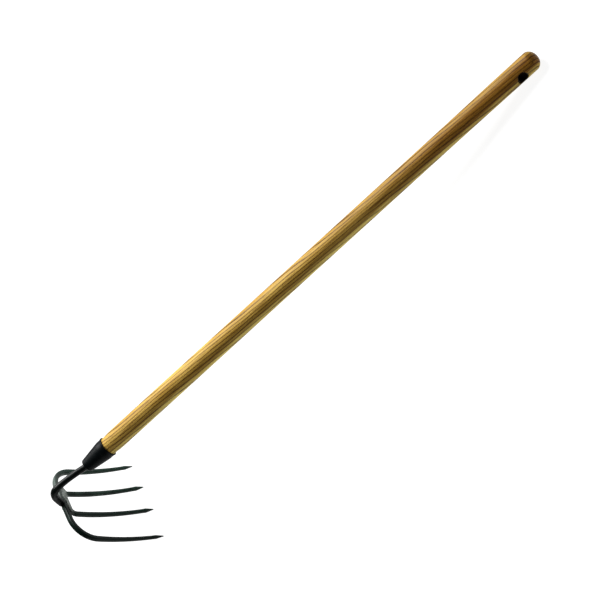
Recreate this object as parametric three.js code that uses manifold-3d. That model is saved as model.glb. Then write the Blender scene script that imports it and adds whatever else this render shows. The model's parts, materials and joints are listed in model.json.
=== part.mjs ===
// Long-handled hand rake: a forged steel head with a bowed pair of outer tines and a
// bent pair of inner tines, welded to a swan neck whose tang is driven into an ash
// handle and held by a pressed steel ferrule.
//
// Units are millimetres. The tool is first built in the handle's own frame:
// +X runs along the handle from the mouth of the ferrule to the grip end, the row of
// tines lies along Y, and the tines point down, towards -Z. The finished group is then
// tipped so that it lies on the ground on its tine tips and its grip end, with +Z up,
// and the origin is put under the middle of its bounding box.

import * as THREE from 'three';
import { mergeVertices } from 'three/addons/utils/BufferGeometryUtils.js';
import Module from 'manifold-3d';

// ---------------------------------------------------------------- driving dimensions

const FIT_GAP = 0.3; // clearance kept between pieces that touch

const HANDLE = {
  length: 804, // from the ferrule's mouth to the grip end
  rootRadius: 13.0, // where the wood comes out of the ferrule
  bodyRadius: 14.0,
  waistRadius: 13.55,
  gripRadius: 13.95,
  mouthGap: 1, // the wood's step down into the ferrule starts here
  swellEnd: 16, // the wood reaches its full body this far from the ferrule
  waistStart: 40,
  waistEnd: 420,
  gripStart: 640,
  gripEnd: 752,
  endDepth: 11, // of the rounded end
  endFlatRadius: 3.5, // small turned flat on the rounded end
  holeFromEnd: 31,
  holeRadius: 7.2,
  holeMouthRadius: 8.6,
  holeMouthDepth: 1.6,
};

const FERRULE = {
  length: 43,
  wall: 1.3,
  mouthRadius: 14.4,
  lipRadius: 14.9,
  lipWidth: 1.4,
  lipEnd: 3.0, // where the turned-out lip has run back into the wall
  straight: 9.5, // the nearly straight part behind the mouth, before the cone
  straightRadius: 14.3,
  smallRadius: 9.8,
  shoulder: 2.6, // rounding of the closed end
  collar: 0.7, // how far the closed end is drawn out along the neck
};

const NECK = {
  radius: 4.7,
  bendRadius: 5.4,
  bendStart: 78, // the swell into the bend, measured from the ferrule's mouth
  bendEnd: 98,
  palmFrom: 95, // the flattening starts past here, as the neck turns down
  palmStartZ: 4.5,
  palmEndZ: -6,
  palmPower: 2.5, // how much squarer the palm's section is than the round neck
  palmThinning: 0.6,
  tipRounding: 0.82, // share of the section left at the very end of the palm
  tangLength: 78,
  tangTipRadius: 1.6,
  palmHalfDepth: 5.6, // the flattened end, across its length and in the tool's middle plane
  palmHalfWidth: 4.5, // the flattened end, along the row of tines
};

// The head leans a little to one side: the neck runs out of the middle plane behind the
// ferrule, and both bars sit this far along Y at their bases.
const HEAD_LEAN = -1.2;

// A tine bar is one bar bent into a U: a straight base along Y, two round corners, and
// two tines that open slightly. Seen from the side it leaves its base at `rootAngle`
// below the handle's direction and curls towards the handle on an arc of `curlRadius`.
const OUTER = {
  baseX: -112.5,
  baseZ: -23.5,
  rootAngle: THREE.MathUtils.degToRad(74.4),
  curlRadius: 333,
  baseHalfLength: 28.9,
  cornerRadius: 33.9,
  tineLength: 98.9,
  opening: THREE.MathUtils.degToRad(2.0),
  baseSide: 7.8,
  tipSide: 4.0,
  taperPerMm: 0.029,
  baseFlattened: 0.84, // the base is hammered thinner where it meets the other bar
};

const INNER = {
  baseX: -110.3,
  baseZ: -30.3,
  rootAngle: THREE.MathUtils.degToRad(70.4),
  curlRadius: 336,
  baseHalfLength: 10.6,
  cornerRadius: 8.1,
  tineLength: 115.6,
  opening: THREE.MathUtils.degToRad(1.2),
  baseSide: 6.4,
  tipSide: 4.6,
  taperPerMm: 0.02,
  baseFlattened: 0.84,
};

const WOOD_START = -(FERRULE.length - FERRULE.shoulder - 1.2); // inside the ferrule
const BORE_GAP = FIT_GAP + 0.1; // round the tang, inside the wood
const BORE_RUNOUT = 2; // the bore goes this far past the tang's tip

const POINT_LENGTH = 11; // sharpened end of each tine
const POINT_SIDE = 1.0;
const POINT_FLARE = 1.08; // the bar spreads slightly where the point begins
const POINT_FLARE_LENGTH = 2.9;
const POINT_RINGS = [-3, 0, 5.5]; // extra rings, from where the point begins

// Weld metal in the angle between the two bars, on either side of the palm. `alongY` is
// measured from the palm's middle, and `tineward` and `outward` from the middle
// of the inner bar's base, in the directions of its tines and of the tool's outside.
const WELD_SLOPE = THREE.MathUtils.degToRad(72.4);
const PALM_CLEARANCE = 4.8; // no weld metal nearer to the palm's middle than this
const WELD_LEFT = {
  alongY: 11, halfLength: 9, tineward: -3.6, outward: 0, halfTineward: 4.3, halfOutward: 4.3,
};
const WELD_RIGHT = {
  alongY: -6.5, halfLength: 5, tineward: -5.4, outward: 1.3, halfTineward: 4.6, halfOutward: 4.9,
};

// The larger weld also fills the corner between the inner bar's bend and the outer bar.
const GUSSET = {
  thickness: 4.6,
  edge: [[41, -1.8], [34, 2.0], [29, 4.3], [24.7, 6.5], [22.4, 8.0]], // free edge: Y, tineward
  insideOuterBar: [[9, -5.2], [41, -5.2]],
  insideInnerBar: [[20, 11], [14, 3]],
};

const SETTLING_STEPS = 8; // small turns that bring the finished tool to rest on the ground

const TURNED_SEGMENTS = 40;
const BAR_SIDES = 12;
const NECK_SIDES = 16;

// ------------------------------------------------------------------------- materials

const steel = new THREE.MeshStandardMaterial({
  color: 0x262b29,
  roughness: 0.42,
  metalness: 0.6,
});
const ferrulePaint = new THREE.MeshStandardMaterial({
  color: 0x14181a,
  roughness: 0.38,
  metalness: 0.3,
});
const ash = new THREE.MeshStandardMaterial({
  color: 0xb98a45,
  roughness: 0.38,
  metalness: 0,
});

// ------------------------------------------------------------------- solids and cuts

const wasm = await Module();
wasm.setup();

function positionsOnly(geometry) {
  geometry.deleteAttribute('normal');
  geometry.deleteAttribute('uv');
  return mergeVertices(geometry, 1e-4);
}

function toSolid(geometry) {
  const closed = positionsOnly(geometry);
  return new wasm.Manifold(
    new wasm.Mesh({
      numProp: 3,
      vertProperties: new Float32Array(closed.attributes.position.array),
      triVerts: new Uint32Array(closed.index.array),
    }),
  );
}

function toGeometry(solid) {
  const mesh = solid.getMesh();
  const geometry = new THREE.BufferGeometry();
  geometry.setAttribute('position', new THREE.BufferAttribute(mesh.vertProperties, 3));
  geometry.setIndex(new THREE.BufferAttribute(mesh.triVerts, 1));
  return geometry;
}

// Turns a profile of [x, radius] pairs about the X axis.
function turned(profile, segments = TURNED_SEGMENTS) {
  const points = profile.map(([x, radius]) => new THREE.Vector2(radius, x));
  return new THREE.LatheGeometry(points, segments).rotateZ(-Math.PI / 2);
}

// A bar whose section changes along its length. The bar starts as a straight
// extrusion of a unit circle; every ring of it is then moved to its own station, where
// it becomes a rounded rectangle. Each station has an origin, the two directions of
// its section (side and up), half sizes along them, and a squareness: 2 gives an
// ellipse and larger powers give squarer corners.
function sweptBar(stations, sides, gap = 0) {
  const circle = [];
  for (let i = 0; i < sides; i += 1) {
    const angle = (2 * Math.PI * (i + 0.5)) / sides;
    circle.push(new THREE.Vector2(Math.cos(angle), Math.sin(angle)));
  }
  const steps = stations.length - 1;
  const geometry = new THREE.ExtrudeGeometry(new THREE.Shape(circle), {
    depth: steps,
    steps,
    bevelEnabled: false,
  });
  const position = geometry.attributes.position;
  const vertex = new THREE.Vector3();
  for (let i = 0; i < position.count; i += 1) {
    vertex.fromBufferAttribute(position, i);
    const station = stations[Math.round(vertex.z)];
    const reach = (
      Math.abs(vertex.x) ** station.power + Math.abs(vertex.y) ** station.power
    ) ** (-1 / station.power);
    const across = vertex.x * reach * (station.halfSide + gap);
    const upward = vertex.y * reach * (station.halfUp + gap);
    vertex.copy(station.origin);
    vertex.addScaledVector(station.side, across);
    vertex.addScaledVector(station.up, upward);
    position.setXYZ(i, vertex.x, vertex.y, vertex.z);
  }
  return geometry;
}

// --------------------------------------------------------------------------- handle

function handleRadius(x) {
  const swell = THREE.MathUtils.smoothstep(x, 0, HANDLE.swellEnd);
  const waist = THREE.MathUtils.smoothstep(x, HANDLE.waistStart, HANDLE.waistEnd);
  const grip = THREE.MathUtils.smoothstep(x, HANDLE.gripStart, HANDLE.gripEnd);
  return HANDLE.rootRadius
    + swell * (HANDLE.bodyRadius - HANDLE.rootRadius)
    + waist * (HANDLE.waistRadius - HANDLE.bodyRadius)
    + grip * (HANDLE.gripRadius - HANDLE.waistRadius);
}

// Outer radius of the ferrule's wall, at x from its mouth (0) to its closed end
// (-length): nearly straight behind the mouth, then a cone.
function ferruleRadius(x) {
  const { straight, mouthRadius, straightRadius, smallRadius } = FERRULE;
  if (-x < straight) {
    return THREE.MathUtils.lerp(mouthRadius, straightRadius, -x / straight);
  }
  const coneLength = FERRULE.length - FERRULE.shoulder - straight;
  return THREE.MathUtils.lerp(straightRadius, smallRadius, (-x - straight) / coneLength);
}

function ferruleBoreRadius(x) {
  return ferruleRadius(x) - FERRULE.wall;
}

// Pairs of x and radius from one place on the handle to another.
function handleRings(start, end, steps) {
  const rings = [];
  for (let i = 0; i <= steps; i += 1) {
    const x = THREE.MathUtils.lerp(start, end, i / steps);
    rings.push([x, handleRadius(x)]);
  }
  return rings;
}

function makeHandle() {
  const boreEnd = NECK.tangLength + BORE_RUNOUT;
  const profile = [
    [boreEnd, 0],
    [boreEnd, NECK.tangTipRadius + BORE_GAP],
    [WOOD_START, NECK.radius + BORE_GAP],
    [WOOD_START, ferruleBoreRadius(WOOD_START) - FIT_GAP],
    [-FERRULE.straight, ferruleBoreRadius(-FERRULE.straight) - FIT_GAP],
    [0, ferruleBoreRadius(0) - FIT_GAP],
    ...handleRings(HANDLE.mouthGap, HANDLE.swellEnd, 4),
    ...handleRings(HANDLE.waistStart, HANDLE.waistEnd, 4),
    ...handleRings(HANDLE.gripStart, HANDLE.gripEnd, 4),
  ];
  const domeSteps = 8;
  const domeStart = HANDLE.length - HANDLE.endDepth;
  const lastAngle = Math.acos(HANDLE.endFlatRadius / HANDLE.gripRadius);
  for (let i = 0; i <= domeSteps; i += 1) {
    const angle = (lastAngle * i) / domeSteps;
    const reach = (Math.sin(angle) / Math.sin(lastAngle)) * HANDLE.endDepth;
    profile.push([domeStart + reach, HANDLE.gripRadius * Math.cos(angle)]);
  }
  profile.push([HANDLE.length, 0]);

  const rim = HANDLE.gripRadius - HANDLE.holeMouthDepth;
  const beyond = HANDLE.gripRadius + 2;
  const slope = (HANDLE.holeMouthRadius - HANDLE.holeRadius) / HANDLE.holeMouthDepth;
  const wide = HANDLE.holeRadius + (beyond - rim) * slope;
  const drill = turned([
    [-beyond, 0],
    [-beyond, wide],
    [-rim, HANDLE.holeRadius],
    [rim, HANDLE.holeRadius],
    [beyond, wide],
    [beyond, 0],
  ], 28);
  drill.rotateZ(Math.PI / 2);
  drill.translate(HANDLE.length - HANDLE.holeFromEnd, 0, 0);
  return toGeometry(toSolid(turned(profile)).subtract(toSolid(drill)));
}

// -------------------------------------------------------------------------- ferrule

function makeFerrule() {
  const {
    length, wall, lipRadius, lipWidth, lipEnd, straight, straightRadius, smallRadius, shoulder,
    collar,
  } = FERRULE;
  const boreStart = -length + shoulder + FIT_GAP;
  const neckHole = NECK.radius + FIT_GAP;
  const profile = [
    [0, ferruleBoreRadius(0)],
    [0, lipRadius],
    [-lipWidth, lipRadius],
    [-lipEnd, ferruleRadius(-lipEnd)],
    [-straight, straightRadius],
  ];
  const cornerSteps = 5;
  for (let i = 0; i <= cornerSteps; i += 1) {
    const angle = (Math.PI / 2) * (i / cornerSteps);
    const x = -(length - shoulder) - shoulder * Math.sin(angle);
    profile.push([x, smallRadius - shoulder * (1 - Math.cos(angle))]);
  }
  profile.push([-length - collar, neckHole]);
  profile.push([-length + wall, neckHole]);
  profile.push([boreStart, ferruleBoreRadius(boreStart)]);
  profile.push([-straight, ferruleBoreRadius(-straight)]);
  profile.push([0, ferruleBoreRadius(0)]);
  return positionsOnly(turned(profile.reverse()));
}

// ----------------------------------------------------------------------------- neck

// The neck's middle line: straight tang, a slight rise behind the ferrule, the bend, and
// the palm that runs down to the outer bar.
const neckLine = new THREE.CatmullRomCurve3([
  new THREE.Vector3(NECK.tangLength, 0, 0),
  new THREE.Vector3(20, 0, 0),
  new THREE.Vector3(-30, 0, 0),
  new THREE.Vector3(-44, 0, 0.1),
  new THREE.Vector3(-58, 0.2 * HEAD_LEAN, 3.6),
  new THREE.Vector3(-74, 0.5 * HEAD_LEAN, 6.8),
  new THREE.Vector3(-90, 0.8 * HEAD_LEAN, 8.3),
  new THREE.Vector3(-100.5, HEAD_LEAN, 6.6),
  new THREE.Vector3(-107.3, HEAD_LEAN, -0.6),
  new THREE.Vector3(-110.0, HEAD_LEAN, -9.5),
  new THREE.Vector3(-112.4, HEAD_LEAN, -19.8),
  new THREE.Vector3(-112.9, HEAD_LEAN, -22.6),
], false, 'centripetal');

function neckSection(point, along) {
  const tangTaper = (point.x - WOOD_START) / (NECK.tangLength - WOOD_START);
  const inHandle = THREE.MathUtils.clamp(tangTaper, 0, 1);
  const bend = THREE.MathUtils.smoothstep(-point.x, NECK.bendStart, NECK.bendEnd);
  const pastBend = point.x < -NECK.palmFrom;
  const down = THREE.MathUtils.smoothstep(-point.z, -NECK.palmStartZ, -NECK.palmEndZ);
  const palm = pastBend ? down : 0;
  const round = THREE.MathUtils.lerp(NECK.radius, NECK.tangTipRadius, inHandle)
    + bend * (NECK.bendRadius - NECK.radius);
  const deep = THREE.MathUtils.lerp(round, NECK.palmHalfDepth, palm);
  const left = along === 1 ? NECK.tipRounding : 1;
  return {
    halfUp: (deep - NECK.palmThinning * palm * along) * left,
    halfSide: THREE.MathUtils.lerp(round, NECK.palmHalfWidth, palm) * left,
    power: 2 + NECK.palmPower * palm,
  };
}

function neckStations() {
  const straightShare = 0.52; // the tang and the part inside the ferrule
  const straightRings = 3;
  const bentRings = 36;
  const fractions = [];
  for (let i = 0; i <= straightRings; i += 1) {
    fractions.push((straightShare * i) / straightRings);
  }
  for (let i = 1; i <= bentRings; i += 1) {
    fractions.push(straightShare + ((1 - straightShare) * i) / bentRings);
  }
  return fractions.map((fraction) => {
    const origin = neckLine.getPointAt(fraction);
    const tangent = neckLine.getTangentAt(fraction);
    const side = new THREE.Vector3(0, 1, 0);
    const up = new THREE.Vector3().crossVectors(tangent, side);
    return { origin, side, up, ...neckSection(origin, fraction) };
  });
}

// ------------------------------------------------------------------------ tine bars

function barHalfLength(bar) {
  const turn = Math.PI / 2 - bar.opening;
  return bar.baseHalfLength + bar.cornerRadius * turn + bar.tineLength;
}

// Distances from the middle of the bar's base at which one half of it gets a ring.
function barDistances(bar) {
  const turn = Math.PI / 2 - bar.opening;
  const cornerStart = bar.baseHalfLength;
  const cornerEnd = cornerStart + bar.cornerRadius * turn;
  const pointStart = barHalfLength(bar) - POINT_LENGTH;
  const cornerSteps = bar === OUTER ? 9 : 6;
  const tineSteps = 11;
  const distances = [cornerStart / 2, cornerStart];
  for (let i = 1; i <= cornerSteps; i += 1) {
    distances.push(cornerStart + ((cornerEnd - cornerStart) * i) / cornerSteps);
  }
  for (let i = 1; i < tineSteps; i += 1) {
    distances.push(cornerEnd + ((pointStart - cornerEnd) * i) / tineSteps);
  }
  distances.push(...POINT_RINGS.map((past) => pointStart + past));
  distances.push(barHalfLength(bar));
  return distances;
}

function barSide(bar, distance) {
  const fromTip = barHalfLength(bar) - distance;
  const plain = Math.min(bar.baseSide, bar.tipSide + bar.taperPerMm * fromTip);
  if (fromTip > POINT_LENGTH + POINT_FLARE_LENGTH) {
    return plain;
  }
  if (fromTip >= POINT_LENGTH) {
    return plain * POINT_FLARE;
  }
  const sharpened = fromTip / POINT_LENGTH;
  return THREE.MathUtils.lerp(POINT_SIDE, plain * POINT_FLARE, sharpened);
}

// One ring of a tine bar. `distance` runs from the middle of the base to a tip, and
// `hand` is 1 for the +Y tine and -1 for the -Y tine.
function barStation(bar, distance, hand) {
  const turn = Math.PI / 2 - bar.opening;
  const inCorner = THREE.MathUtils.clamp(
    (distance - bar.baseHalfLength) / bar.cornerRadius,
    0,
    turn,
  );
  const straight = Math.max(0, distance - bar.baseHalfLength - bar.cornerRadius * turn);
  const across = Math.min(distance, bar.baseHalfLength)
    + bar.cornerRadius * Math.sin(inCorner)
    + straight * Math.sin(bar.opening);
  const forward = bar.cornerRadius * (1 - Math.cos(inCorner))
    + straight * Math.cos(bar.opening);

  const slope = bar.rootAngle - forward / bar.curlRadius;
  const x = bar.baseX + bar.curlRadius * (Math.sin(bar.rootAngle) - Math.sin(slope));
  const z = bar.baseZ - bar.curlRadius * (Math.cos(slope) - Math.cos(bar.rootAngle));

  const heading = Math.PI / 2 - inCorner;
  const tineward = new THREE.Vector3(Math.cos(slope), 0, -Math.sin(slope));
  const half = barSide(bar, distance) / 2;
  const cornerEnd = bar.baseHalfLength + bar.cornerRadius * turn;
  const pastBase = THREE.MathUtils.smoothstep(distance, bar.baseHalfLength, cornerEnd);
  const flattened = THREE.MathUtils.lerp(bar.baseFlattened, 1, pastBase);
  return {
    origin: new THREE.Vector3(x, HEAD_LEAN + hand * across, z),
    side: tineward.multiplyScalar(-Math.sin(heading)).add(
      new THREE.Vector3(0, hand * Math.cos(heading), 0),
    ),
    up: new THREE.Vector3(Math.sin(slope), 0, Math.cos(slope)),
    halfSide: half * flattened,
    halfUp: half,
    power: 5,
  };
}

function barStations(bar) {
  const distances = barDistances(bar);
  const farHalf = distances.map((distance) => barStation(bar, distance, -1)).reverse();
  const nearHalf = distances.map((distance) => barStation(bar, distance, 1));
  return [...farHalf, barStation(bar, 0, 1), ...nearHalf];
}

// ---------------------------------------------------------------------------- welds

// Carries a shape from the weld's own directions (along Y, tineward, outward) to the tool.
function intoWeldPlane(geometry) {
  const alongY = new THREE.Vector3(0, 1, 0);
  const tineward = new THREE.Vector3(Math.cos(WELD_SLOPE), 0, -Math.sin(WELD_SLOPE));
  const outward = new THREE.Vector3().crossVectors(alongY, tineward);
  const place = new THREE.Matrix4().makeBasis(alongY, tineward, outward);
  place.setPosition(INNER.baseX, HEAD_LEAN, INNER.baseZ);
  return geometry.applyMatrix4(place);
}

function beadSolid(weld) {
  const bead = new THREE.SphereGeometry(1, 24, 16);
  bead.scale(weld.halfLength, weld.halfTineward, weld.halfOutward);
  bead.translate(weld.alongY, weld.tineward, weld.outward);
  return toSolid(intoWeldPlane(bead));
}

function gussetSolid() {
  const corners = [...GUSSET.insideOuterBar, ...GUSSET.edge, ...GUSSET.insideInnerBar];
  const shape = new THREE.Shape(corners.map(([y, tineward]) => new THREE.Vector2(y, tineward)));
  const plate = new THREE.ExtrudeGeometry(shape, {
    depth: GUSSET.thickness,
    bevelEnabled: false,
  });
  plate.translate(0, 0, -GUSSET.thickness / 2);
  return toSolid(intoWeldPlane(plate));
}

function makeWeld(solid) {
  const outerRoom = toSolid(sweptBar(barStations(OUTER), BAR_SIDES, FIT_GAP));
  const innerRoom = toSolid(sweptBar(barStations(INNER), BAR_SIDES, FIT_GAP));
  const span = 4 * INNER.cornerRadius;
  const palmRoom = new THREE.BoxGeometry(span, 2 * PALM_CLEARANCE, span);
  palmRoom.translate(INNER.baseX, HEAD_LEAN, INNER.baseZ);
  const room = outerRoom.add(innerRoom).add(toSolid(palmRoom));
  return toGeometry(solid.subtract(room));
}

// ------------------------------------------------------------------------- assembly

function makeNeck() {
  const outerRoom = toSolid(sweptBar(barStations(OUTER), BAR_SIDES, FIT_GAP));
  return toGeometry(toSolid(sweptBar(neckStations(), NECK_SIDES)).subtract(outerRoom));
}

function piece(name, geometry, material) {
  const mesh = new THREE.Mesh(geometry, material);
  mesh.name = name;
  return mesh;
}

const tool = new THREE.Group();
tool.add(piece('handle', makeHandle(), ash));
tool.add(piece('ferrule', makeFerrule(), ferrulePaint));
tool.add(piece('neck', makeNeck(), steel));
tool.add(piece('outer_tines', positionsOnly(sweptBar(barStations(OUTER), BAR_SIDES)), steel));
tool.add(piece('inner_tines', positionsOnly(sweptBar(barStations(INNER), BAR_SIDES)), steel));
tool.add(piece('weld_left', makeWeld(beadSolid(WELD_LEFT).add(gussetSolid())), steel));
tool.add(piece('weld_right', makeWeld(beadSolid(WELD_RIGHT)), steel));

// The tool rests on its outer tips and on the rim of the grip end's round, so the handle
// slopes down towards the grip.
function lowest(name) {
  tool.updateMatrixWorld(true);
  return new THREE.Box3().setFromObject(tool.getObjectByName(name), true).min.z;
}

const tip = barStation(OUTER, barHalfLength(OUTER), 1).origin;
const span = HANDLE.length - HANDLE.endDepth - tip.x;
for (let i = 0; i < SETTLING_STEPS; i += 1) {
  tool.rotation.y += (lowest('handle') - lowest('outer_tines')) / span;
}

const rake = new THREE.Group();
rake.add(tool);
rake.updateMatrixWorld(true);
const bounds = new THREE.Box3().setFromObject(rake, true);
const middle = bounds.getCenter(new THREE.Vector3());
tool.position.set(-middle.x, -middle.y, -bounds.min.z);

export default rake;
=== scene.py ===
import json
import math

import bmesh
import bpy
from mathutils import Matrix, Vector, noise


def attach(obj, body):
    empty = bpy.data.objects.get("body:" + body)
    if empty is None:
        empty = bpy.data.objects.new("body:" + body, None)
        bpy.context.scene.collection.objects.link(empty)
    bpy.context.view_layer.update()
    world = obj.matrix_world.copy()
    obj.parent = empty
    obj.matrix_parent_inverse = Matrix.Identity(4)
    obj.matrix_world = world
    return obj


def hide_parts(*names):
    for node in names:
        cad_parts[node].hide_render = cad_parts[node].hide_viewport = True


# A long-handled hand rake: forged steel tines on a swan neck, an ash handle and a
# pressed ferrule. Every shape is worked out in millimetres in the handle's own frame:
# +X runs from the ferrule's mouth to the grip end, the row of tines lies along Y, and
# the tines point down, towards -Z. TO_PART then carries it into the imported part's frame.

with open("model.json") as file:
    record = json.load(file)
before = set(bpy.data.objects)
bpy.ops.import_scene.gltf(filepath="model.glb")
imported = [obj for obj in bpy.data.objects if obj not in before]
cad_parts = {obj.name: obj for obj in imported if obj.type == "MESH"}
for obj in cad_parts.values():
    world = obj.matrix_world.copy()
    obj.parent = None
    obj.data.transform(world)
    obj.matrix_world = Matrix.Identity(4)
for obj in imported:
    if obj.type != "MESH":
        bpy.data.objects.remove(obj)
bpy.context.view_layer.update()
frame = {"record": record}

# ------------------------------------------------------------------ driving dimensions

MM = 0.001

HANDLE_LENGTH = 804.0
ROOT_RADIUS = 13.0
BODY_RADIUS = 14.0
WAIST_RADIUS = 13.55
GRIP_RADIUS = 13.95
END_DEPTH = 11.0
END_FLAT_RADIUS = 3.5
HOLE_FROM_END = 31.0
HOLE_RADIUS = 7.2
HOLE_ROUNDING = 2.8
HOLE_SLANT = 0.25
HOLE_CUTTER_STANDS_OUT = 3.0
WOOD_START = -39.2
WOOD_SHOULDER = 0.8
WOOD_TO_FERRULE = 0.35
WOOD_TO_TANG = 0.4
FERRULE_TO_NECK = 0.3

FERRULE_LENGTH = 43.0
FERRULE_WALL = 1.3
FERRULE_STRAIGHT = 9.5
FERRULE_MOUTH_RADIUS = 14.4
FERRULE_STRAIGHT_RADIUS = 14.3
FERRULE_SMALL_RADIUS = 9.8
FERRULE_SHOULDER = 2.6
FERRULE_CONE_END = FERRULE_LENGTH - FERRULE_SHOULDER

# The rolled lip at the ferrule's mouth, as pairs of x and radius.
FERRULE_LIP = [(0.15, 13.1), (0.25, 14.2), (0.1, 14.8), (-0.4, 15.0), (-1.3, 14.8), (-2.4, 14.5)]

NECK_RADIUS = 4.7
BEND_RADIUS = 5.4
NECK_UNEVEN = 0.02
TANG_LENGTH = 78.0
TANG_TIP_RADIUS = 1.6
PALM_HALF_DEPTH = 5.6
PALM_HALF_WIDTH = 4.5
PALM_ROUNDING = 2.2
PALM_SQUARENESS = 2.5

# The head leans a little to one side, so both bars sit this far along Y.
HEAD_LEAN = -1.2

POINT_LENGTH = 11.0
POINT_SIDE = 1.0
POINT_FLARE = 1.08
BAR_SQUARENESS = 4.2
HAMMERED = 0.022

OUTER = dict(
    base_x=-112.5, base_z=-23.5, root_angle=math.radians(74.4), curl_radius=333.0,
    base_half=28.9, corner_radius=33.9, tine_length=98.9, opening=math.radians(2.0),
    base_side=7.8, tip_side=4.0, taper=0.029, seed=3.0,
    base_flattened=0.84,
)
INNER = dict(
    base_x=-110.3, base_z=-30.3, root_angle=math.radians(70.4), curl_radius=336.0,
    base_half=10.6, corner_radius=8.1, tine_length=115.6, opening=math.radians(1.2),
    base_side=6.4, tip_side=4.6, taper=0.020, seed=11.0,
    base_flattened=0.84,
)

# Weld metal, placed from the middle of the inner bar's base: along the base, tineward and
# outward in the plane of the bars' bases. The gusset's free edge is pairs of along and
# tineward.
WELD_SLOPE = math.radians(72.4)
OUTER_BASE_TINEWARD = -7.15
GUSSET_EDGE = [
    (18.7, 11.5), (20.8, 10.5), (22.4, 8.0), (24.7, 6.5), (29, 4.3), (34, 2.0), (41, -1.8),
]

# ------------------------------------------------------------- from the tool to the part

grip_end = next(m for m in frame["record"]["mounts"] if m["name"] == "grip_end")
handle_axis = Vector(grip_end["axis"])
TIP_DOWN = math.atan2(-handle_axis.z, handle_axis.x)
TO_PART = (
    Matrix.Translation(grip_end["pos_m"])
    @ Matrix.Rotation(TIP_DOWN, 4, "Y")
    @ Matrix.Scale(MM, 4)
    @ Matrix.Translation((-HANDLE_LENGTH, 0, 0))
)
MOUTH = TO_PART @ Vector((0, 0, 0))
TURN_TO_PART = Matrix.Rotation(TIP_DOWN, 3, "Y")

# ------------------------------------------------------------------------- small maths


def lerp(a, b, share):
    return a + (b - a) * share


def clamp(value, low=0.0, high=1.0):
    return max(low, min(high, value))


def smoothstep(value, start, end):
    share = clamp((value - start) / (end - start))
    return share * share * (3 - 2 * share)


def through(points, steps):
    """Points along a centripetal Catmull-Rom curve, with steps of it between two points."""
    ends = [2 * points[0] - points[1], *points, 2 * points[-1] - points[-2]]
    line = []
    for p0, p1, p2, p3 in zip(ends, ends[1:], ends[2:], ends[3:]):
        t0 = 0.0
        t1 = t0 + (p1 - p0).length ** 0.5
        t2 = t1 + (p2 - p1).length ** 0.5
        t3 = t2 + (p3 - p2).length ** 0.5
        for i in range(steps):
            t = lerp(t1, t2, i / steps)
            a1 = p0.lerp(p1, (t - t0) / (t1 - t0))
            a2 = p1.lerp(p2, (t - t1) / (t2 - t1))
            a3 = p2.lerp(p3, (t - t2) / (t3 - t2))
            b1 = a1.lerp(a2, (t - t0) / (t2 - t0))
            b2 = a2.lerp(a3, (t - t1) / (t3 - t1))
            line.append(b1.lerp(b2, (t - t1) / (t2 - t1)))
    return [*line, points[-1]]


# ----------------------------------------------------------------------- mesh building


def skin(name, rings, capped=True):
    """A closed mesh over rings of points in the handle's frame. A capped skin closes
    its first and last ring; one that isn't joins its last ring to its first."""
    mesh = bmesh.new()
    loops = [[mesh.verts.new(TO_PART @ Vector(p)) for p in ring] for ring in rings]
    pairs = list(zip(loops, loops[1:]))
    if not capped:
        pairs.append((loops[-1], loops[0]))
    for one, other in pairs:
        for i in range(len(one)):
            j = (i + 1) % len(one)
            mesh.faces.new((one[i], one[j], other[j], other[i]))
    if capped:
        for loop in (loops[0], loops[-1]):
            middle = sum((v.co for v in loop), Vector()) / len(loop)
            pole = mesh.verts.new(middle)
            for i in range(len(loop)):
                mesh.faces.new((loop[i], loop[(i + 1) % len(loop)], pole))
    bmesh.ops.recalc_face_normals(mesh, faces=mesh.faces)
    data = bpy.data.meshes.new(name)
    mesh.to_mesh(data)
    mesh.free()
    piece = bpy.data.objects.new(name, data)
    bpy.context.scene.collection.objects.link(piece)
    return piece


def turned_rings(profile, sides):
    """Rings of a shape turned about the handle's axis, from pairs of x and radius."""
    turns = [2 * math.pi * i / sides for i in range(sides)]
    return [[(x, r * math.cos(a), r * math.sin(a)) for a in turns] for x, r in profile]


def section(station, sides):
    """The ring of one station of a bar: a rounded rectangle whose corners get squarer
    as its power grows from 2."""
    ring = []
    for i in range(sides):
        angle = 2 * math.pi * (i + 0.5) / sides
        c, s = math.cos(angle), math.sin(angle)
        power = station["power"]
        reach = (abs(c) ** power + abs(s) ** power) ** (-1 / power)
        across = station["side"] * (c * reach * station["half_side"])
        upward = station["up"] * (s * reach * station["half_up"])
        ring.append(station["origin"] + across + upward)
    return ring


def cut(piece, cutter):
    """Takes the cutter's solid out of the piece."""
    modifier = piece.modifiers.new("cut", "BOOLEAN")
    modifier.operation = "DIFFERENCE"
    modifier.solver = "EXACT"
    modifier.object = cutter
    bpy.context.view_layer.update()
    shaped = piece.evaluated_get(bpy.context.evaluated_depsgraph_get())
    piece.data = bpy.data.meshes.new_from_object(shaped)
    piece.modifiers.clear()
    bpy.data.objects.remove(cutter)


def finished(piece, node, material, crease=35.0):
    """Smooths a piece's shading, paints it and puts it in the place of its CAD node."""
    piece.data.shade_smooth()
    piece.data.set_sharp_from_angle(angle=math.radians(crease))
    piece.data.materials.clear()
    piece.data.materials.append(material)
    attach(piece, "root")
    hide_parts(node)
    return piece


# ----------------------------------------------------------------------------- handle


def handle_radius(x):
    """Radius of the handle: a shoulder at the ferrule, a slight waist and a fuller grip."""
    swell = smoothstep(x, 0, 16)
    waist = smoothstep(x, 40, 420)
    grip = smoothstep(x, 640, 752)
    return (
        ROOT_RADIUS
        + swell * (BODY_RADIUS - ROOT_RADIUS)
        + waist * (WAIST_RADIUS - BODY_RADIUS)
        + grip * (GRIP_RADIUS - WAIST_RADIUS)
    )


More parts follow.
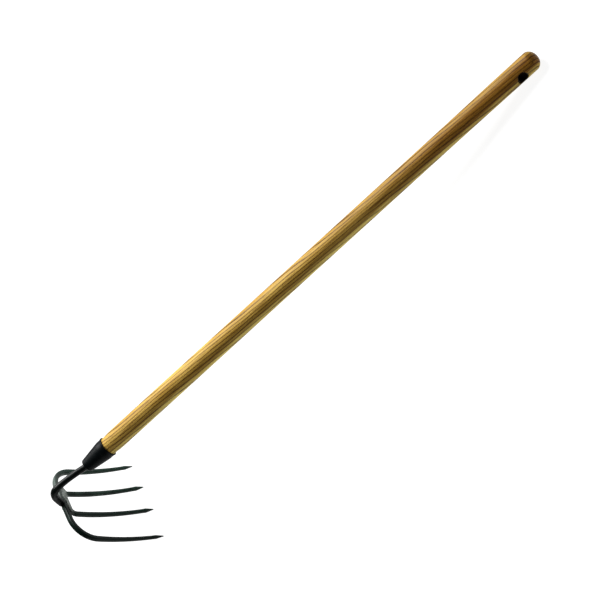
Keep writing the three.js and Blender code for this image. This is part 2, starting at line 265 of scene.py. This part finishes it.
def ferrule_radius(x):
    """Outer radius of the ferrule's wall: nearly straight behind the mouth, then a cone."""
    if -x < FERRULE_STRAIGHT:
        return lerp(FERRULE_MOUTH_RADIUS, FERRULE_STRAIGHT_RADIUS, -x / FERRULE_STRAIGHT)
    along = (-x - FERRULE_STRAIGHT) / (FERRULE_CONE_END - FERRULE_STRAIGHT)
    return lerp(FERRULE_STRAIGHT_RADIUS, FERRULE_SMALL_RADIUS, along)


def make_handle(material):
    inside = FERRULE_WALL + WOOD_TO_FERRULE
    bore_end = TANG_LENGTH + 2
    profile = [
        (bore_end, 0.01),
        (bore_end, TANG_TIP_RADIUS + WOOD_TO_TANG),
        (WOOD_START, NECK_RADIUS + WOOD_TO_TANG),
        (WOOD_START, ferrule_radius(WOOD_START) - inside),
        (-FERRULE_STRAIGHT, ferrule_radius(-FERRULE_STRAIGHT) - inside),
        (0, ferrule_radius(0) - inside),
    ]
    dome_start = HANDLE_LENGTH - END_DEPTH
    hole_zone = dome_start - 40
    x = WOOD_SHOULDER
    while x < dome_start:
        profile.append((x, handle_radius(x)))
        x += 4.0 if x < hole_zone else 1.0
    last_angle = math.acos(END_FLAT_RADIUS / GRIP_RADIUS)
    dome_steps = 24
    for i in range(dome_steps + 1):
        angle = last_angle * i / dome_steps
        reach = END_DEPTH * math.sin(angle) / math.sin(last_angle)
        profile.append((dome_start + reach, GRIP_RADIUS * math.cos(angle)))
    piece = skin("ash_handle", turned_rings(profile, 96))
    cut(piece, hole_cutter())
    return finished(piece, "handle", material)


def hole_ring(hand, radius, depth=None):
    """One ring of the drill for the hanging hole: depth under the handle's surface, or
    flat and well outside it when no depth is given."""
    sides = 72
    ring = []
    for i in range(sides):
        angle = 2 * math.pi * i / sides
        z = radius * math.sin(angle)
        if depth is None:
            out = GRIP_RADIUS + HOLE_CUTTER_STANDS_OUT
        else:
            out = math.sqrt(GRIP_RADIUS ** 2 - z * z) - depth
        x = HANDLE_LENGTH - HOLE_FROM_END + radius * math.cos(angle) + HOLE_SLANT * z
        ring.append((x, hand * out, z))
    return ring


def hole_cutter():
    """A drill that follows the round of the handle at its rims, so that the softened edge
    of the hole is even all the way round."""
    steps = 10
    rounded_by = math.radians(62)
    halves = []
    for hand in (1, -1):
        half = []
        for i in range(steps, -1, -1):
            angle = rounded_by * i / steps
            radius = HOLE_RADIUS + HOLE_ROUNDING * (1 - math.cos(angle))
            if i == steps:
                half.append(hole_ring(hand, radius + 2))
            half.append(hole_ring(hand, radius, HOLE_ROUNDING * (1 - math.sin(angle))))
        halves.append(half)
    return skin("hole_cutter", halves[0] + halves[1][::-1])


# ---------------------------------------------------------------------------- ferrule


def make_ferrule(material):
    """A pressed cap: a rolled lip, a thin conical wall and a rounded end round the neck."""
    neck_hole = NECK_RADIUS + FERRULE_TO_NECK
    outer = FERRULE_LIP + [(x, ferrule_radius(x)) for x in range(-4, -40, -1)]
    corner_steps = 14
    for i in range(corner_steps + 1):
        angle = math.pi / 2 * i / corner_steps
        x = -FERRULE_CONE_END - FERRULE_SHOULDER * math.sin(angle)
        outer.append((x, FERRULE_SMALL_RADIUS - FERRULE_SHOULDER * (1 - math.cos(angle))))
    outer += [(-FERRULE_LENGTH - 0.3, neck_hole + 0.5), (-FERRULE_LENGTH - 0.35, neck_hole)]
    inner = [(-FERRULE_LENGTH + FERRULE_WALL, neck_hole)]
    inner += [(x, ferrule_radius(x) - FERRULE_WALL) for x in range(-38, -8, 1)]
    inner.append((0, ferrule_radius(0) - FERRULE_WALL))
    piece = skin("steel_ferrule", turned_rings(outer + inner, 96), capped=False)
    return finished(piece, "ferrule", material, crease=50)


# ------------------------------------------------------------------------------- neck


def neck_section(point, share):
    """Half sizes of the neck at a point of its line: a tang that tapers inside the handle,
    a round neck that swells at its bend, and a squarer palm at its end."""
    in_handle = clamp((point.x - WOOD_START) / (TANG_LENGTH - WOOD_START))
    bend = smoothstep(-point.x, 78, 98)
    palm = smoothstep(-point.z, -4.5, 6) if point.x < -95 else 0
    radius = lerp(NECK_RADIUS, TANG_TIP_RADIUS, in_handle)
    radius += bend * (BEND_RADIUS - NECK_RADIUS)
    uneven = 1 + NECK_UNEVEN * noise.noise(point / 14)
    return dict(
        half_up=(lerp(radius, PALM_HALF_DEPTH, palm) - 0.6 * palm * share) * uneven,
        half_side=lerp(radius, PALM_HALF_WIDTH, palm) * uneven,
        power=2 + PALM_SQUARENESS * palm,
    )


def make_neck(material):
    """The neck's line runs from the tang's tip to the palm's end, through places given as
    x, share of the head's lean, and z."""
    places = [
        (TANG_LENGTH, 0, 0), (20, 0, 0), (-30, 0, 0), (-44, 0, 0.1), (-58, 0.2, 3.6),
        (-74, 0.5, 6.8), (-90, 0.8, 8.3), (-100.5, 1, 6.6), (-107.3, 1, -0.6),
        (-110.0, 1, -9.5), (-112.4, 1, -19.8), (-112.9, 1, -22.6),
    ]
    line = through([Vector((x, lean * HEAD_LEAN, z)) for x, lean, z in places], 14)
    rings = []
    side = Vector((0, 1, 0))
    for i, point in enumerate(line):
        ahead = line[min(i + 1, len(line) - 1)]
        behind = line[max(i - 1, 0)]
        up = (ahead - behind).normalized().cross(side)
        station = dict(origin=point, side=side, up=up)
        station.update(neck_section(point, i / (len(line) - 1)))
        left = clamp((line[-1] - point).length / PALM_ROUNDING)
        rounded = lerp(0.35, 1, math.sqrt(1 - (1 - left) ** 2))
        station["half_up"] *= rounded
        station["half_side"] *= rounded
        rings.append(section(station, 48))
    piece = skin("swan_neck", rings)
    return finished(piece, "neck", material)


# -------------------------------------------------------------------------- tine bars


def bar_half_length(bar):
    """Length along a bar from the middle of its base to the tip of a tine."""
    turn = math.pi / 2 - bar["opening"]
    return bar["base_half"] + bar["corner_radius"] * turn + bar["tine_length"]


def bar_side(bar, distance):
    """Side of a bar's square section: it tapers along the tine, flares a little where the
    point was hammered out, and then runs down to the tip."""
    from_tip = bar_half_length(bar) - distance
    plain = min(bar["base_side"], bar["tip_side"] + bar["taper"] * from_tip)
    flare = 1 + (POINT_FLARE - 1) * smoothstep(-from_tip, -POINT_LENGTH - 7, -POINT_LENGTH)
    if from_tip >= POINT_LENGTH:
        return plain * flare
    return lerp(POINT_SIDE, plain * flare, (from_tip / POINT_LENGTH) ** 0.9)


def bar_station(bar, distance, hand):
    """Place, directions and half sizes of a bar at a distance along it from the middle of
    its base. The bar lies in a plane that is then curled round an axis along Y."""
    turn = math.pi / 2 - bar["opening"]
    in_corner = clamp((distance - bar["base_half"]) / bar["corner_radius"], 0, turn)
    straight = max(0, distance - bar["base_half"] - bar["corner_radius"] * turn)
    across = (
        min(distance, bar["base_half"])
        + bar["corner_radius"] * math.sin(in_corner)
        + straight * math.sin(bar["opening"])
    )
    forward = bar["corner_radius"] * (1 - math.cos(in_corner))
    forward += straight * math.cos(bar["opening"])
    slope = bar["root_angle"] - forward / bar["curl_radius"]
    x = bar["base_x"] + bar["curl_radius"] * (math.sin(bar["root_angle"]) - math.sin(slope))
    z = bar["base_z"] - bar["curl_radius"] * (math.cos(slope) - math.cos(bar["root_angle"]))
    heading = math.pi / 2 - in_corner
    tineward = Vector((math.cos(slope), 0, -math.sin(slope)))
    side = tineward * -math.sin(heading) + Vector((0, hand * math.cos(heading), 0))
    half = bar_side(bar, distance) / 2
    corner_end = bar["base_half"] + bar["corner_radius"] * turn
    past_base = smoothstep(distance, bar["base_half"], corner_end)
    flattened = lerp(bar["base_flattened"], 1, past_base)
    near = Vector((hand * distance / 16, bar["seed"], 0))
    hammered = HAMMERED * clamp((bar_half_length(bar) - distance) / 20)
    return dict(
        origin=Vector((x, HEAD_LEAN + hand * across, z)),
        side=side,
        up=Vector((math.sin(slope), 0, math.cos(slope))),
        half_side=half * flattened * (1 + hammered * noise.noise(near)),
        half_up=half * (1 + hammered * noise.noise(near + Vector((0, 5, 9)))),
        power=BAR_SQUARENESS,
    )


def make_bar(name, node, bar, material):
    length = bar_half_length(bar)
    steps = round(length / 1.6)
    distances = [length * i / steps for i in range(steps + 1)]
    stations = [bar_station(bar, d, -1) for d in reversed(distances)]
    stations += [bar_station(bar, d, 1) for d in distances[1:]]
    piece = skin(name, [section(s, 36) for s in stations])
    return finished(piece, node, material, crease=50)


# ------------------------------------------------------------------------------ welds


ALONG_Y = Vector((0, 1, 0))
TINEWARD = Vector((math.cos(WELD_SLOPE), 0, -math.sin(WELD_SLOPE)))
OUTWARD = ALONG_Y.cross(TINEWARD)


def weld_ring(along, tineward, outward, half_tineward, half_outward, seed):
    """One ring of weld metal, with the ripples and lumps of a hand-laid bead."""
    middle = Vector((INNER["base_x"], HEAD_LEAN + along, INNER["base_z"]))
    middle += TINEWARD * tineward + OUTWARD * outward
    ripple = 1 + 0.03 * math.sin(along * 3.4)
    sides = 48
    power = 2.5
    ring = []
    for k in range(sides):
        angle = 2 * math.pi * k / sides
        c, s = math.cos(angle), math.sin(angle)
        reach = (abs(c) ** power + abs(s) ** power) ** (-1 / power) * ripple
        lump = 1 + 0.07 * noise.noise(Vector((along / 4, 1.2 * c + seed, 1.2 * s)))
        offset = TINEWARD * (c * half_tineward) + OUTWARD * (s * half_outward)
        ring.append(middle + offset * (reach * lump))
    return ring


def inner_bend(along):
    """How far tineward the middle of the inner bar is, in its +Y bend."""
    past = clamp((along - INNER["base_half"]) / INNER["corner_radius"])
    return INNER["corner_radius"] * (1 - math.sqrt(1 - past * past))


def outer_bend(along):
    """How far tineward the middle of the outer bar is, in its base and its +Y bend."""
    past = max(0, along - OUTER["base_half"]) / OUTER["corner_radius"]
    return OUTER_BASE_TINEWARD + OUTER["corner_radius"] * (1 - math.sqrt(1 - past * past))


def free_edge(along):
    """How far tineward the gusset's free edge is."""
    for (y0, t0), (y1, t1) in zip(GUSSET_EDGE, GUSSET_EDGE[1:]):
        if along <= y1:
            return lerp(t0, t1, (along - y0) / (y1 - y0))
    return GUSSET_EDGE[-1][1]


def make_left_weld(material):
    """The larger weld: a bead beside the palm that runs out into the corner between the
    inner bar's bend and the outer bar."""
    start = 3.4
    end = 40.4
    steps = 72
    bead_thickness = 4.25
    gusset_thickness = 2.2
    rings = []
    for i in range(steps + 1):
        along = lerp(start, end, i / steps)
        near = outer_bend(along) - 0.6
        far = inner_bend(along) + 0.4 if along < GUSSET_EDGE[0][0] else free_edge(along)
        start_round = math.sqrt(clamp((along - start) / 5))
        end_round = math.sqrt(clamp((end - along) / 6))
        rounding = min(start_round, end_round)
        thick = lerp(bead_thickness, gusset_thickness, smoothstep(along, 12, 25))
        thick *= lerp(0.3, 1, rounding)
        half = max(0.3, (far - near) / 2 * lerp(0.5, 1, rounding))
        rings.append(weld_ring(along, (near + far) / 2, 0, half, thick, seed=4))
    piece = skin("weld_bead_left", rings)
    return finished(piece, "weld_left", material, crease=60)


def make_right_weld(material):
    """The smaller weld, a short bead wrapped over the outer bar beside the palm."""
    middle = -6.5
    half_length = 5.0
    tineward = -5.4
    outward = 1.3
    steps = 36
    rings = []
    for i in range(1, steps):
        t = -math.cos(math.pi * i / steps)
        round_off = math.sqrt(1 - t * t) ** 0.8
        along = middle + half_length * t
        ring = weld_ring(along, tineward, outward, 4.5 * round_off, 4.8 * round_off, seed=9)
        rings.append(ring)
    piece = skin("weld_bead_right", rings)
    return finished(piece, "weld_right", material, crease=60)


# -------------------------------------------------------------------------- materials


class Recipe:
    """One node material, read in the handle's frame in millimetres."""

    def __init__(self, name):
        self.material = bpy.data.materials.new(name)
        self.material.use_nodes = True
        self.tree = self.material.node_tree
        self.surface = self.tree.nodes["Principled BSDF"]
        place = self.node("ShaderNodeTexCoord", {}).outputs["Object"]
        self.place = self.node("ShaderNodeMapping", {
            "Vector": place,
            "Location": MOUTH,
            "Rotation": (0, TIP_DOWN, 0),
            "Scale": (MM, MM, MM),
        }, vector_type="TEXTURE").outputs["Vector"]

    def node(self, kind, inputs, **settings):
        made = self.tree.nodes.new(kind)
        for key, value in settings.items():
            setattr(made, key, value)
        for key, value in inputs.items():
            if isinstance(value, bpy.types.NodeSocket):
                self.tree.links.new(value, made.inputs[key])
            else:
                made.inputs[key].default_value = value
        return made

    def set(self, **values):
        for key, value in values.items():
            self.surface.inputs[key.replace("_", " ")].default_value = value

    def link(self, socket, name):
        self.tree.links.new(socket, self.surface.inputs[name])

    def math(self, operation, *values):
        made = self.node("ShaderNodeMath", dict(enumerate(values)), operation=operation)
        return made.outputs[0]

    def vector(self, operation, one, other=(0, 0, 0)):
        made = self.node("ShaderNodeVectorMath", {0: one, 1: other}, operation=operation)
        return made.outputs["Value" if operation in ("LENGTH", "DOT_PRODUCT") else "Vector"]

    def noise(self, scales, detail=2.0, roughness=0.5):
        stretched = self.vector("MULTIPLY", self.place, scales)
        return self.node("ShaderNodeTexNoise", {
            "Vector": stretched, "Scale": 1.0, "Detail": detail, "Roughness": roughness,
        })

    def range(self, value, start, end, low=0.0, high=1.0):
        return self.node("ShaderNodeMapRange", {
            "Value": value, "From Min": start, "From Max": end, "To Min": low, "To Max": high,
        }, interpolation_type="SMOOTHSTEP").outputs["Result"]

    def mix(self, share, one, other, blend="MIX"):
        made = self.node("ShaderNodeMix", {}, data_type="RGBA", blend_type=blend)
        for key, value in ((0, share), (6, one), (7, other)):
            if isinstance(value, bpy.types.NodeSocket):
                self.tree.links.new(value, made.inputs[key])
            elif key == 0:
                made.inputs[key].default_value = value
            else:
                made.inputs[key].default_value = (*value, 1)
        return made.outputs[2]

    def bump(self, height, distance):
        made = self.node("ShaderNodeBump", {"Height": height, "Distance": distance * MM})
        self.link(made.outputs["Normal"], "Normal")


# The wood is painted paler along the side that faces down towards the glowing floor: painted
# light from the floor.
FLOOR_LIT_SIDE = (0.0, -0.755, -0.655)
FLOOR_LIT_SIDE_GAIN = (1.35, 1.65, 2.0)

# The growth rings' middle is this far towards -Y and -Z at the ferrule's mouth, and moves
# away by the slopes along the handle. The rings wander by up to half of their drift.
RING_SPACING = 4.4
PITH_AWAY = (56.0, 48.0)
PITH_SLOPE = (0.050, 0.034)
RING_DRIFT = 13

PALE_ASH = (0.56, 0.380, 0.090)
DEEP_ASH = (0.32, 0.185, 0.028)
CLOUDED_ASH = (0.31, 0.17, 0.022)
STREAK_BROWN = (0.15, 0.072, 0.010)
RING_BROWN = (0.085, 0.035, 0.005)
PORE_BROWN = (0.030, 0.012, 0.003)
FLECK_BROWN = (0.025, 0.012, 0.005)
# Darker grip colour: wear from hands, laid deepest on the grip's shaded middle as painted shade.
HAND_WORN_AND_SHADE = (0.44, 0.28, 0.11)
# Near black painted in the hanging hole: painted shade.
HOLE_SHADE = (0.005, 0.002, 0.001)


def early_wood(wood):
    """The dark, porous start of each growth ring, round a pith that lies outside the
    handle and slopes a little along it."""
    drift = wood.noise((1 / 210, 1 / 26, 1 / 26), detail=2.0).outputs["Color"]
    drift = wood.vector("SUBTRACT", drift, (0.5, 0.5, 0.5))
    drift = wood.vector("MULTIPLY", drift, (0, RING_DRIFT, RING_DRIFT))
    grown = wood.vector("ADD", wood.place, drift)
    parts = wood.node("ShaderNodeSeparateXYZ", {"Vector": grown}).outputs
    pith_y = wood.math("MULTIPLY_ADD", parts["X"], PITH_SLOPE[0], PITH_AWAY[0])
    pith_z = wood.math("MULTIPLY_ADD", parts["X"], PITH_SLOPE[1], PITH_AWAY[1])
    from_pith = wood.node("ShaderNodeCombineXYZ", {
        "X": wood.math("ADD", parts["Y"], pith_y),
        "Y": wood.math("ADD", parts["Z"], pith_z),
    }).outputs["Vector"]
    rings = wood.math("DIVIDE", wood.vector("LENGTH", from_pith), RING_SPACING)
    in_ring = wood.math("FRACT", rings)
    rise = wood.range(in_ring, 0.0, 0.07)
    fall = wood.range(in_ring, 0.14, 0.48, 1.0, 0.0)
    return wood.math("MULTIPLY", rise, fall)


def painted_hole_shade(wood, x, z):
    """How dark the wood is painted in the hanging hole and just round its rims: painted shade of
    the hole.
    """
    slanted = wood.math("MULTIPLY_ADD", z, -HOLE_SLANT, x)
    from_middle = wood.node("ShaderNodeCombineXYZ", {
        "X": wood.math("SUBTRACT", slanted, HANDLE_LENGTH - HOLE_FROM_END),
        "Y": z,
    }).outputs["Vector"]
    distance = wood.vector("LENGTH", from_middle)
    return wood.range(distance, HOLE_RADIUS + 1.8, HOLE_RADIUS + 1.0, 0.0, 0.98)


def ash_wood():
    """Varnished ash: nearly straight growth rings seen as dark porous lines."""
    wood = Recipe("varnished_ash")
    early = early_wood(wood)
    fibre = wood.noise((1 / 60, 1.5, 1.5), detail=4.0, roughness=0.62).outputs["Fac"]
    pores = wood.range(wood.noise((1 / 9, 3.2, 3.2), detail=2.0).outputs["Fac"], 0.56, 0.68)
    cloud = wood.noise((1 / 130, 1 / 14, 1 / 14), detail=2.0).outputs["Fac"]
    line = wood.math("MULTIPLY", early, wood.range(cloud, 0.3, 0.62, 0.55, 1.0))

    golden = wood.mix(wood.range(fibre, 0.3, 0.7), DEEP_ASH, PALE_ASH)
    tone = wood.mix(wood.range(cloud, 0.35, 0.7, 0.0, 0.8), golden, CLOUDED_ASH)
    streak = wood.noise((1 / 70, 0.55, 0.55), detail=3.0, roughness=0.7).outputs["Fac"]
    tone = wood.mix(wood.range(streak, 0.52, 0.64, 0.0, 0.7), tone, STREAK_BROWN)
    tone = wood.mix(wood.math("MULTIPLY", line, 0.95), tone, RING_BROWN)
    porous = wood.math("MULTIPLY", wood.math("MULTIPLY", early, pores), 0.85)
    tone = wood.mix(porous, tone, PORE_BROWN)
    fleck = wood.noise((1 / 5, 1 / 2.6, 1 / 2.6), detail=1.0).outputs["Fac"]
    tone = wood.mix(wood.range(fleck, 0.76, 0.80, 0.0, 0.8), tone, FLECK_BROWN)
    place = wood.node("ShaderNodeSeparateXYZ", {"Vector": wood.place}).outputs
    # Painted light: the wood is lighter along the side that faces the glowing floor.
    sideways = wood.vector("DOT_PRODUCT", wood.place, FLOOR_LIT_SIDE)
    floor_light_share = wood.range(sideways, 6.8, 10.2)
    tone = wood.mix(floor_light_share, tone, FLOOR_LIT_SIDE_GAIN, blend="MULTIPLY")

    # Hands have darkened the grip, and the darkening is also painted shade: it is held off the
    # side lit from the floor and the side facing the key light, so it is deepest on the shaded
    # middle.
    gripped = wood.range(place["X"], 330, 700, 0.0, 0.90)
    floor_light_kept = wood.math("MULTIPLY", floor_light_share, 0.7)
    key_light_kept = wood.range(sideways, -3.0, -12.0, 0.0, 0.5)
    lit_sides_kept = wood.math("MAXIMUM", floor_light_kept, key_light_kept)
    grip_wear_and_shade = wood.math("MULTIPLY", gripped, wood.math("SUBTRACT", 1.0, lit_sides_kept))
    tone = wood.mix(grip_wear_and_shade, tone, HAND_WORN_AND_SHADE, blend="MULTIPLY")
    # Painted shade: the wood is made nearly black in the hanging hole and just round its rims.
    hole_shaded = painted_hole_shade(wood, place["X"], place["Z"])
    tone = wood.mix(hole_shaded, tone, HOLE_SHADE)
    wood.link(tone, "Base Color")

    rough = wood.range(fibre, 0.3, 0.75, 0.42, 0.56)
    wood.link(wood.math("MAXIMUM", rough, hole_shaded), "Roughness")
    wood.set(Specular_IOR_Level=0.07)
    wood.set(Sheen_Weight=0.20, Sheen_Roughness=0.25, Sheen_Tint=(1.0, 0.98, 0.64, 1))
    ridges = wood.math("MULTIPLY_ADD", early, -0.6, fibre)
    ridges = wood.math("MULTIPLY_ADD", porous, -0.8, ridges)
    wood.bump(ridges, 0.10)
    return wood.material


# Pale grey of the painted highlight, where the bars' faces catch the light.
PAINTED_HIGHLIGHT_GREY = (0.19, 0.21, 0.195)

# The steel is painted lighter towards +Y, the side the key light comes from, by this share for
# each millimetre: painted light.
PAINTED_LIGHT_ACROSS = 0.0030


def forged_steel(name, lacquer, worn_and_lit, lumps, painted_highlight=None, polish=0.0):
    """Dark lacquer over hammered steel, worn a little thinner in patches and painted lighter
    towards +Y, the side the key light comes from, as painted light. Steel near a weld also gets
    a painted highlight, a pale grey patch where its faces catch the light. It is full up to one
    distance from its middle and gone at another, and a distance along Y counts y_weight times."""
    steel = Recipe(name)
    patches = steel.noise((1 / 9, 1 / 9, 1 / 9), detail=4.0, roughness=0.6).outputs["Fac"]
    grain = steel.noise((1.6, 1.6, 1.6), detail=3.0).outputs["Fac"]
    scale = steel.noise((1 / 3.2, 1 / 3.2, 1 / 3.2), detail=2.0).outputs["Fac"]
    across = steel.node("ShaderNodeSeparateXYZ", {"Vector": steel.place}).outputs["Y"]
    # Worn patches, plus painted light that grows towards +Y.
    wear_and_light = steel.math("MULTIPLY_ADD", across, PAINTED_LIGHT_ACROSS, patches)
    tone = steel.mix(steel.range(wear_and_light, 0.42, 0.72), lacquer, worn_and_lit)
    speck = steel.range(grain, 0.62, 0.72, 0.0, 0.3)
    tone = steel.mix(speck, tone, [2.5 * value for value in worn_and_lit])
    # Painted highlight: a pale grey patch where the faces catch the light.
    if painted_highlight:
        from_highlight_middle = steel.vector("SUBTRACT", steel.place, painted_highlight["middle"])
        from_highlight_middle = steel.vector("MULTIPLY", from_highlight_middle, (1, painted_highlight["y_weight"], 1))
        far = steel.math("MULTIPLY_ADD", patches, 10.0, steel.vector("LENGTH", from_highlight_middle))
        share = steel.range(far, painted_highlight["full"], painted_highlight["gone"], painted_highlight["share"], 0.0)
        tone = steel.mix(share, tone, PAINTED_HIGHLIGHT_GREY)
    steel.link(tone, "Base Color")
    rough = steel.math("MULTIPLY_ADD", patches, 0.22, 0.28 - polish)
    steel.link(steel.math("MULTIPLY_ADD", grain, 0.08, rough), "Roughness")
    steel.set(Metallic=0.0, Specular_IOR_Level=0.09)
    height = steel.math("MULTIPLY_ADD", scale, lumps, patches)
    height = steel.math("MULTIPLY_ADD", grain, 0.10, height)
    steel.bump(height, 0.35)
    return steel.material


def ferrule_paint():
    """Black paint, a little cloudy, with the fine orange peel of a sprayed coat."""
    paint = Recipe("black_ferrule_paint")
    cloud = paint.noise((1 / 12, 1 / 12, 1 / 12), detail=3.0).outputs["Fac"]
    orange_peel = paint.noise((1.1, 1.1, 1.1), detail=2.0).outputs["Fac"]
    black = (0.001, 0.0018, 0.0022)
    blue_black = (0.0025, 0.0035, 0.004)
    paint.link(paint.mix(paint.range(cloud, 0.35, 0.7), black, blue_black), "Base Color")
    paint.link(paint.math("MULTIPLY_ADD", cloud, 0.16, 0.34), "Roughness")
    paint.set(Specular_IOR_Level=0.05)
    paint.bump(paint.math("MULTIPLY_ADD", cloud, 0.6, orange_peel), 0.06)
    return paint.material


# ------------------------------------------------------------------------ the stage

# The floor lies just under the tool's lowest points, in metres.
FLOOR_BELOW = -0.0004


def make_floor():
    """A pale floor that glows a little, so that it stays white round the tool."""
    mesh = bmesh.new()
    bmesh.ops.create_grid(mesh, x_segments=1, y_segments=1, size=12)
    data = bpy.data.meshes.new("studio_floor")
    mesh.to_mesh(data)
    mesh.free()
    floor = bpy.data.objects.new("studio_floor", data)
    floor.location.z = FLOOR_BELOW
    bpy.context.scene.collection.objects.link(floor)
    paper = bpy.data.materials.new("white_paper")
    paper.use_nodes = True
    surface = paper.node_tree.nodes["Principled BSDF"]
    surface.inputs["Base Color"].default_value = (0.14, 0.14, 0.14, 1)
    surface.inputs["Emission Color"].default_value = (1, 1, 1, 1)
    surface.inputs["Emission Strength"].default_value = 0.92
    surface.inputs["Roughness"].default_value = 0.9
    surface.inputs["Specular IOR Level"].default_value = 0.0
    data.materials.append(paper)


def softbox(name, direction, distance, size, power):
    """A square studio light that faces the middle of the tool."""
    data = bpy.data.lights.new(name, "AREA")
    data.shape = "SQUARE"
    data.size = size
    data.energy = power
    light = bpy.data.objects.new(name, data)
    target = Vector((0, 0, 0.07))
    away = Vector(direction).normalized()
    light.location = target + away * distance
    light.rotation_euler = away.to_track_quat("Z", "Y").to_euler()
    bpy.context.scene.collection.objects.link(light)


def make_lights():
    world = bpy.data.worlds.new("studio")
    world.use_nodes = True
    background = world.node_tree.nodes["Background"]
    background.inputs["Color"].default_value = (1, 1, 1, 1)
    background.inputs["Strength"].default_value = 0.08
    bpy.context.scene.world = world
    softbox("key_softbox", (-0.186, 0.612, 0.767), 2.8, 2.0, 250)


def make_camera():
    """A long lens, placed from the ferrule's mouth in the handle's own directions."""
    to_right = 0.26098
    to_top = 0.19910
    away = 4.760
    right = TURN_TO_PART @ Vector((0.70398, -0.35757, -0.61365))
    up = TURN_TO_PART @ Vector((0.63913, 0.69574, 0.32781))
    back = TURN_TO_PART @ Vector((0.30973, -0.62297, 0.71832))
    data = bpy.data.cameras.new("camera")
    data.lens = 210
    data.sensor_width = 36
    camera = bpy.data.objects.new("camera", data)
    turn = Matrix((right, up, back)).transposed()
    place = MOUTH + right * to_right + up * to_top + back * away
    camera.matrix_world = Matrix.Translation(place) @ turn.to_4x4()
    data.clip_end = 100
    bpy.context.scene.collection.objects.link(camera)
    bpy.context.scene.camera = camera


# ------------------------------------------------------------------------- assembly

make_camera()
make_floor()
make_lights()
bpy.context.scene.view_settings.view_transform = "Standard"

lacquered = forged_steel(
    "lacquered_steel", (0.001, 0.002, 0.0018), (0.004, 0.006, 0.005), lumps=0.2, polish=0.10,
)
# The outer bar, the inner bar and the left weld carry a painted highlight: a pale grey patch
# where their faces catch the light.
outer_steel = forged_steel(
    "lacquered_outer_tines", (0.001, 0.005, 0.0035), (0.013, 0.030, 0.022), lumps=0.3,
    painted_highlight=dict(middle=(-111.5, 26.0, -21.0), y_weight=1, full=9, gone=47, share=0.30),
)
inner_steel = forged_steel(
    "lacquered_inner_tines", (0.003, 0.010, 0.007), (0.014, 0.032, 0.023), lumps=0.3,
    painted_highlight=dict(middle=(-112.0, -1.0, -25.5), y_weight=0.30, full=11, gone=16, share=0.95),
)
left_weld_metal = forged_steel(
    "weld_with_painted_highlight", (0.016, 0.020, 0.014), (0.04, 0.042, 0.03), lumps=0.8,
    painted_highlight=dict(middle=(-110.3, 16.0, -29.0), y_weight=1, full=19, gone=45, share=0.9),
)
right_weld_metal = forged_steel(
    "lacquered_weld", (0.022, 0.020, 0.013), (0.05, 0.045, 0.032), lumps=0.8,
)
make_handle(ash_wood())
make_ferrule(ferrule_paint())
make_neck(lacquered)
make_bar("outer_tine_bar", "outer_tines", OUTER, outer_steel)
make_bar("inner_tine_bar", "inner_tines", INNER, inner_steel)
make_left_weld(left_weld_metal)
make_right_weld(right_weld_metal)
